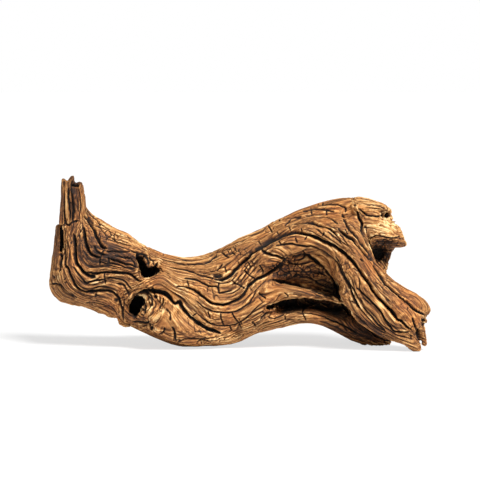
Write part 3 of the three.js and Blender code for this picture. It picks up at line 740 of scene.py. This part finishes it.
def finish_ends(skin):
    """Adds ledges to the torn end, and calms the relief of the spires and the toe."""
    u, w = skin.spots.T
    x, y, z = skin.points.T
    torn = blend(*TORN_RIGHT, u) * blend(*TORN_UP, w)
    place = np.column_stack((w / 3.4 + 0.8 * noise(skin.points / 14.0, seed=54), y / 22.0, u / 14.0))
    skin.height += LEDGE_RISE * torn * layers(place, seed=55, count=2)
    plank = blend(*PLANK_LEFT, x) * blend(*PLANK_UP, z)
    skin.height *= 1.0 - 0.75 * np.maximum(skin.spire, plank)
    skin.height *= 1.0 - 0.6 * blend(*TOE_RIGHT, u) * blend(*TOE_DOWN, w)
    # Less painted shade in the cracks of the torn end and the spires.
    skin.crack_shade *= 1.0 - 0.5 * torn
    skin.crack_shade *= 1.0 - 0.3 * skin.spire


def drawn_lines(spots, here):
    """Depth, darkness of the painted shade, and valley of the drawn cracks and checks at each spot."""
    deep, dark, valley = np.zeros((3, len(spots)))
    lines = [(width, depth, path) for width, depth, *path in CRACKS]
    lines += [(CHECK_WIDTH, CHECK_DEPTH, path) for path in CHECKS]
    for number, (width, depth, path) in enumerate(lines):
        way = curve(path, 200 + number)
        hit, gap, share = near(spots, way, CRACK_REACH)
        ends = to_end(share, CRACK_TAPER) ** 0.5
        run = share * len(way) / 6.0
        place = np.column_stack((run, np.full(len(run), number * 3.7), np.zeros(len(run))))
        uneven = 1.0 + CRACK_UNEVEN * noise(place, seed=72)
        half = 0.5 * width * at_least(0.5, ends) * uneven + 0.3
        shape = np.exp(-(gap / half) ** 3)
        # Checks and hairlines fade sooner towards the edges of the front.
        if width <= CHECK_WIDTH:
            shape *= here[hit] ** 2
        deep[hit] = np.maximum(deep[hit], depth * at_least(0.35, ends) * shape)
        dark[hit] = np.maximum(dark[hit], min(1.0, 0.6 + depth / 6.0) * shape)
        beside = VALLEY_SHARE * depth * ends * np.exp(-gap / VALLEY_REACH)
        valley[hit] = np.maximum(valley[hit], beside)
    return deep, dark, valley


def add_drawing(skin):
    """Cuts the cracks, checks and holes that are drawn on the front, paints shade in them and in the valleys
    beside them, and raises its ridges.
    """
    seen = np.nonzero(np.maximum(skin.front, skin.inside) > 0.0)[0]
    spots = skin.spots[seen]
    here = skin.front[seen]
    deep, dark, valley = drawn_lines(spots, here)
    place = np.column_stack((spots / 4.0, np.zeros(len(spots))))
    ragged = np.exp(1.1 * layers(place, seed=71, count=2))
    for cu, cw, hu, hw, depth in PITS:
        hole = np.exp(-(((spots - (cu, cw)) / (hu, hw)) ** 2).sum(1) ** 2 * ragged)
        deep = np.maximum(deep, depth * hole)
        dark = np.maximum(dark, hole)
    for number, (width, rise, *path) in enumerate(RIDGES):
        hit, gap, share = near(spots, curve(path, 400 + number), 1.5 * width)
        top = here[hit] * rise * at_least(0.3, to_end(share, 5.0))
        skin.height[seen[hit]] += top * groove(gap, 0.5 * width)
    skin.height[seen] -= here * (deep + valley)
    # Painted shade in the valleys beside the cracks, for the tone.
    skin.shade[seen] = here * np.minimum(valley, VALLEY_MOST)
    # Painted shade in the drawn cracks and holes, and inside the holes.
    skin.crack_shade[seen] = np.maximum(skin.crack_shade[seen], np.maximum(here, skin.inside[seen]) * dark)


def add_rims(skin):
    """Wood that has grown in from the rims of the knot holes."""
    shown = np.maximum(skin.front, skin.inside)
    for cu, cw, hu, hw, rise in RIMS:
        skin.height += rise * mound(skin.spots, (cu, cw), (hu, hw)) * shown * (1.0 + 0.4 * skin.sway)


def add_fibres(skin):
    """Fibre ends and small unevenness, and the painted shade of the hollows."""
    skin.height += FIBRE_RISE * (1.0 - 0.5 * skin.spire) * skin.stretched(1.6, 16.0, seed=81, count=2)
    skin.paint_shade(skin.hollow)


def relief_shading(skin):
    """How far each point stands above (1) or below (-1) its surroundings, which the material turns into
    painted highlight and painted shade.
    """
    blurred = skin.height
    for _ in range(BLUR_TURNS):
        blurred = 0.5 * blurred + 0.5 * spread(blurred, skin.edges)
    return np.clip((skin.height - blurred) / RELIEF_FULL, -1.0, 1.0)


def tones_and_painted_light(skin):
    """How much paler (+) or darker (-) each point is than the wood's middle colour: random tone, painted shade
    beside the cracks, and the listed places of tone, painted shade and painted highlight.
    """
    tone_and_painted_light = 0.10 * noise(skin.points / 38.0, seed=91) + 0.08 * noise(skin.points / 15.0, seed=92)
    # Painted shade in the valleys beside the cracks.
    tone_and_painted_light -= 0.54 * skin.shade
    for cu, cw, hu, hw, amount in TONES_AND_PAINTED_LIGHT:
        tone_and_painted_light += amount * mound(skin.spots, (cu, cw), (hu, hw)) * at_least(0.35, skin.front)
    return tone_and_painted_light


def build_wood():
    """The driftwood, with its relief in the mesh and what its material reads at each vertex."""
    mesh = base_mesh()
    skin = Skin(mesh)
    for step in (add_strands, add_splits, add_grooves, add_breaks, add_blocks, finish_ends, add_drawing,
                 add_rims, add_fibres):
        step(skin)
    moved = skin.points + skin.normals * skin.height[:, None]
    moved[:, 2] = np.maximum(moved[:, 2], 0.0)
    mesh.vertices.foreach_set("co", (moved * MM).ravel())
    mesh.update()
    store(mesh, "crack_shade", skin.crack_shade)
    store(mesh, "relief_shading", relief_shading(skin))
    store(mesh, "tone_and_painted_light", tones_and_painted_light(skin))
    store(mesh, "grey", skin.spire)
    store(mesh, "rough", skin.rough)
    store(mesh, "grain", skin.grain)
    mesh.polygons.foreach_set("use_smooth", np.ones(len(mesh.polygons), bool))
    mesh.name = "driftwood_skin"
    piece = bpy.data.objects.new("driftwood_skin", mesh)
    bpy.context.scene.collection.objects.link(piece)
    return piece


def srgb(colour):
    """A colour given as 0 to 255, as Blender's linear values."""
    levels = [c / 255 / 12.92 if c <= 10 else ((c / 255 + 0.055) / 1.055) ** 2.4 for c in colour]
    return (*levels, 1.0)


class Nodes:
    """Short calls for building a node tree."""

    def __init__(self, tree):
        self.tree = tree

    def add(self, kind, inputs=None, **settings):
        node = self.tree.nodes.new(kind)
        for name, value in settings.items():
            setattr(node, name, value)
        for name, value in (inputs or {}).items():
            self.put(node.inputs[name], value)
        return node

    def put(self, socket, value):
        if isinstance(value, bpy.types.NodeSocket):
            self.tree.links.new(value, socket)
        else:
            socket.default_value = value

    def attribute(self, name, output="Fac"):
        return self.add("ShaderNodeAttribute", attribute_name=name).outputs[output]

    def math(self, operation, *values, clamp=False):
        inputs = dict(enumerate(values))
        return self.add("ShaderNodeMath", inputs, operation=operation, use_clamp=clamp).outputs[0]

    def times_and(self, value, factor, rest, clamp=False):
        """value * factor + rest."""
        return self.math("MULTIPLY_ADD", value, factor, rest, clamp=clamp)

    def noise(self, vector, scale, detail, rough):
        place = self.add("ShaderNodeVectorMath", {0: vector, 1: scale}, operation="MULTIPLY").outputs[0]
        inputs = {"Vector": place, "Scale": 1.0, "Detail": detail, "Roughness": rough}
        return self.add("ShaderNodeTexNoise", inputs).outputs["Fac"]

    def lines(self, value, patches, width, begin, sharp):
        """1 where the value crosses its middle, inside the patches, and 0 away from there."""
        off = self.math("ABSOLUTE", self.math("SUBTRACT", value, 0.5))
        line = self.math("SUBTRACT", 1.0, self.math("DIVIDE", off, width, clamp=True), clamp=True)
        gate = self.math("MULTIPLY", self.math("SUBTRACT", patches, begin), sharp, clamp=True)
        return self.math("MULTIPLY", line, gate)

    def ramp(self, value, stops):
        node = self.add("ShaderNodeValToRGB", {"Fac": value})
        while len(node.color_ramp.elements) < len(stops):
            node.color_ramp.elements.new(0.5)
        for element, (place, colour) in zip(node.color_ramp.elements, stops):
            element.position = place
            element.color = srgb(colour)
        return node.outputs["Color"]

    def mix(self, share, first, second, kind="MIX"):
        node = self.add("ShaderNodeMix", data_type="RGBA", blend_type=kind)
        for socket, value in zip((node.inputs[0], node.inputs[6], node.inputs[7]), (share, first, second)):
            self.put(socket, value)
        return node.outputs[2]


def new_material(name):
    """A material, the calls for its nodes, and its shader."""
    material = bpy.data.materials.new(name)
    material.use_nodes = True
    return material, Nodes(material.node_tree), material.node_tree.nodes["Principled BSDF"]


def wood_material():
    """Weathered wood: fibres, hairline cracks and ticks along the grain, with painted shade in cracks, holes
    and hollows, and painted shade and highlight from the relief and the tone.
    """
    material, n, shader = new_material("weathered_wood")
    bases = {"grain": n.attribute("grain", "Vector"), "place": n.add("ShaderNodeTexCoord").outputs["Object"]}
    at = {name: n.attribute(name) for name in ("crack_shade", "relief_shading", "tone_and_painted_light", "grey", "rough")}
    for name, (base, scale, detail, rough) in TEXTURES.items():
        at[name] = n.noise(bases[base], scale, detail, rough)
    hair = n.lines(at["hair"], at["hair_patches"], *HAIR[:3])
    tick = n.lines(at["tick"], at["tick_patches"], *TICK[:3])

    # The relief paints hollows darker and ridges paler: painted shade and painted highlight. The tone adds
    # more of both in places.
    value = WOOD_MIDDLE
    for name, weight in WOOD_WEIGHTS.items():
        part = n.math("SUBTRACT", at[name], 0.5) if name in TEXTURES else at[name]
        value = n.times_and(part, weight, value)
    colour = n.ramp(value, WOOD_COLOURS)
    colour = n.mix(CLOUD_SHARE, colour, n.ramp(at["cloud"], CLOUD_COLOURS), "MULTIPLY")
    greyed = n.mix(1.0, colour, srgb(GREY_COLOUR), "MULTIPLY")
    colour = n.mix(n.math("MULTIPLY", at["grey"], GREY_SHARE), colour, greyed)
    dark = n.math("MAXIMUM", n.math("MULTIPLY", hair, HAIR[3]), n.math("MULTIPLY", tick, TICK[3]))
    colour = n.mix(dark, colour, srgb(HAIR_COLOUR))
    # Painted shade: cracks, holes and hollows are painted near black.
    black = n.math("POWER", n.math("MAXIMUM", at["crack_shade"], 0.0), CRACK_POWER)
    colour = n.mix(black, colour, srgb(CRACK_SHADE_COLOUR))
    n.put(shader.inputs["Base Color"], colour)

    gloss = n.times_and(at["fibre"], -0.25, 0.80)
    n.put(shader.inputs["Roughness"], n.times_and(at["crack_shade"], 0.2, gloss, clamp=True))
    shader.inputs["Specular IOR Level"].default_value = 0.35

    lift = n.times_and(at["fine"], 0.5, n.math("MULTIPLY", at["fibre"], 0.8))
    lift = n.times_and(at["grit"], 0.12, lift)
    lift = n.times_and(dark, -0.6, lift)
    inputs = {"Height": lift, "Strength": 0.8, "Distance": 0.9 * MM}
    n.put(shader.inputs["Normal"], n.add("ShaderNodeBump", inputs).outputs["Normal"])
    return material


def floor_material():
    """A pale floor that keeps its shadows faint."""
    material, n, shader = new_material("floor")
    shader.inputs["Base Color"].default_value = (0.86, 0.86, 0.86, 1.0)
    shader.inputs["Roughness"].default_value = 0.9
    glow = n.add("ShaderNodeEmission", {"Color": WHITE, "Strength": 1.0})
    share = n.math("MULTIPLY", n.add("ShaderNodeLightPath").outputs["Is Camera Ray"], 0.68)
    both = n.add("ShaderNodeMixShader", {0: share, 1: shader.outputs[0], 2: glow.outputs[0]})
    n.put(material.node_tree.nodes["Material Output"].inputs["Surface"], both.outputs[0])
    return material


def add_floor():
    far = 30.0
    mesh = bpy.data.meshes.new("floor")
    mesh.from_pydata([(-far, -far, 0), (far, -far, 0), (far, far, 0), (-far, far, 0)], [], [(0, 1, 2, 3)])
    mesh.materials.append(floor_material())
    floor = bpy.data.objects.new("floor", mesh)
    bpy.context.scene.collection.objects.link(floor)


def add_camera():
    data = bpy.data.cameras.new("camera")
    data.lens = CAMERA_LENS
    data.sensor_width = 36.0
    data.clip_end = 200.0
    camera = bpy.data.objects.new("camera", data)
    bpy.context.scene.collection.objects.link(camera)
    aim = Vector(AIM) * MM
    back = Vector((0.0, -math.cos(CAMERA_RISE), math.sin(CAMERA_RISE)))
    camera.location = aim + back * CAMERA_AWAY * MM
    camera.rotation_euler = (-back).to_track_quat("-Z", "Y").to_euler()
    bpy.context.scene.camera = camera


def add_lamps():
    for name, (towards, energy, spread_angle) in LAMPS.items():
        data = bpy.data.lights.new(name, "SUN")
        data.energy = energy
        data.angle = math.radians(spread_angle)
        lamp = bpy.data.objects.new(name, data)
        lamp.rotation_euler = Vector(towards).to_track_quat("-Z", "Y").to_euler()
        bpy.context.scene.collection.objects.link(lamp)


def add_world():
    """A soft sky that the camera sees as plain white."""
    world = bpy.data.worlds.new("studio")
    bpy.context.scene.world = world
    world.use_nodes = True
    world.node_tree.nodes.clear()
    n = Nodes(world.node_tree)
    path = n.add("ShaderNodeLightPath").outputs["Is Camera Ray"]
    soft = n.add("ShaderNodeBackground", {"Color": (1.0, 0.98, 0.96, 1.0), "Strength": 0.21})
    white = n.add("ShaderNodeBackground", {"Color": WHITE, "Strength": 1.0})
    both = n.add("ShaderNodeMixShader", {0: path, 1: soft.outputs[0], 2: white.outputs[0]})
    n.add("ShaderNodeOutputWorld", {"Surface": both.outputs[0]})


wood = build_wood()
wood.data.materials.clear()
wood.data.materials.append(wood_material())
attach(wood, "root")
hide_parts(NODE)
add_floor()
add_camera()
add_world()
add_lamps()
bpy.context.scene.view_settings.view_transform = "Standard"
